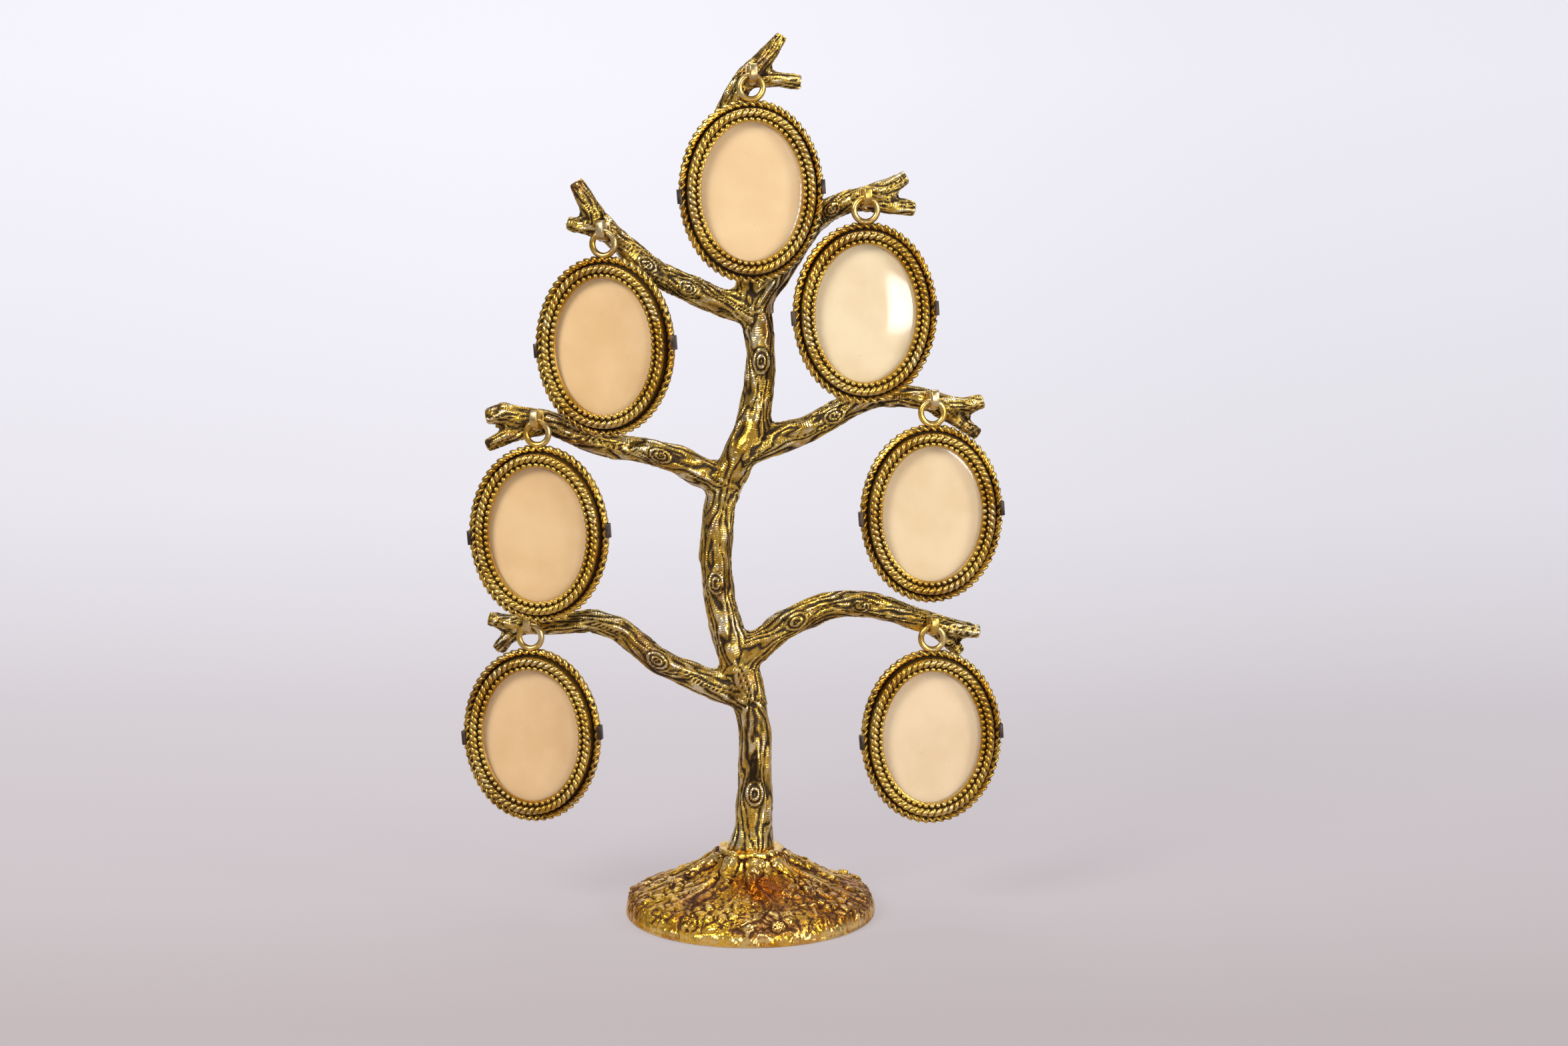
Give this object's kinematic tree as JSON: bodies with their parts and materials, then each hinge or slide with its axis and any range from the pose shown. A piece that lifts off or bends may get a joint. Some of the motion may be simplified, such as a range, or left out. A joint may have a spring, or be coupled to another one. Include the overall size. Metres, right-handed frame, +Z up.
{
  "type": "photo tree stand",
  "caption": "Tree-shaped stand on a round root base; oval photo frames hang by their eyes from strip hooks on its branches and swing forward and back.",
  "frame": {"origin": "centre of the base's underside, on the table", "axes": "+Z up along the trunk, the frames face -Y, +X to the viewer's right"},
  "size_m": [0.1638, 0.076, 0.2649],
  "materials": {
    "base_gold": "matte pale gold with brown patina",
    "tree_gold": "antique gold, dark in the recesses",
    "hook_gold": "antique gold, worn grey",
    "frame_gold": "antique gold, worn edges",
    "pane": "clear, polished",
    "card": "plain cream",
    "steel": "dull dark steel"
  },
  "bodies": {
    "tree_stand": {"base": "base_gold", "base_screw": "steel", "tree": "tree_gold", "top_hook": "hook_gold", "left_upper_hook": "hook_gold", "right_upper_hook": "hook_gold", "left_middle_hook": "hook_gold", "left_lower_hook": "hook_gold", "right_middle_hook": "hook_gold", "right_lower_hook": "hook_gold"},
    "top_frame": {"top_bezel": "frame_gold", "top_window": "pane", "top_card": "card", "top_back_plate": "steel"},
    "left_upper_frame": {"left_upper_bezel": "frame_gold", "left_upper_window": "pane", "left_upper_card": "card", "left_upper_back_plate": "steel"},
    "right_upper_frame": {"right_upper_bezel": "frame_gold", "right_upper_window": "pane", "right_upper_card": "card", "right_upper_back_plate": "steel"},
    "left_middle_frame": {"left_middle_bezel": "frame_gold", "left_middle_window": "pane", "left_middle_card": "card", "left_middle_back_plate": "steel"},
    "left_lower_frame": {"left_lower_bezel": "frame_gold", "left_lower_window": "pane", "left_lower_card": "card", "left_lower_back_plate": "steel"},
    "right_middle_frame": {"right_middle_bezel": "frame_gold", "right_middle_window": "pane", "right_middle_card": "card", "right_middle_back_plate": "steel"},
    "right_lower_frame": {"right_lower_bezel": "frame_gold", "right_lower_window": "pane", "right_lower_card": "card", "right_lower_back_plate": "steel"}
  },
  "joints": [
    {"name": "top_swing", "type": "hinge", "parent": "tree_stand", "child": "top_frame", "pos_m": [0.00072, -0.01, 0.25201], "axis": [-0.9945, -0.1045, 0], "range_deg": [0, 80]},
    {"name": "left_upper_swing", "type": "hinge", "parent": "tree_stand", "child": "left_upper_frame", "pos_m": [-0.0424, -0.01104, 0.20697], "axis": [-0.9744, 0.225, 0], "range_deg": [0, 80]},
    {"name": "right_upper_swing", "type": "hinge", "parent": "tree_stand", "child": "right_upper_frame", "pos_m": [0.03392, -0.01248, 0.21677], "axis": [-0.9962, -0.0872, 0], "range_deg": [0, 80]},
    {"name": "left_middle_swing", "type": "hinge", "parent": "tree_stand", "child": "left_middle_frame", "pos_m": [-0.0624, -0.01104, 0.15158], "axis": [-0.9877, 0.1564, 0], "range_deg": [0, 80]},
    {"name": "left_lower_swing", "type": "hinge", "parent": "tree_stand", "child": "left_lower_frame", "pos_m": [-0.06576, -0.00552, 0.08984], "axis": [-0.9877, 0.1564, 0], "range_deg": [-15, 50]},
    {"name": "right_middle_swing", "type": "hinge", "parent": "tree_stand", "child": "right_middle_frame", "pos_m": [0.05384, -0.01104, 0.15767], "axis": [-0.9962, -0.0872, 0], "range_deg": [-15, 80]},
    {"name": "right_lower_swing", "type": "hinge", "parent": "tree_stand", "child": "right_lower_frame", "pos_m": [0.0544, -0.00896, 0.0901], "axis": [-0.9962, -0.0872, 0], "range_deg": [-15, 80]}
  ]
}
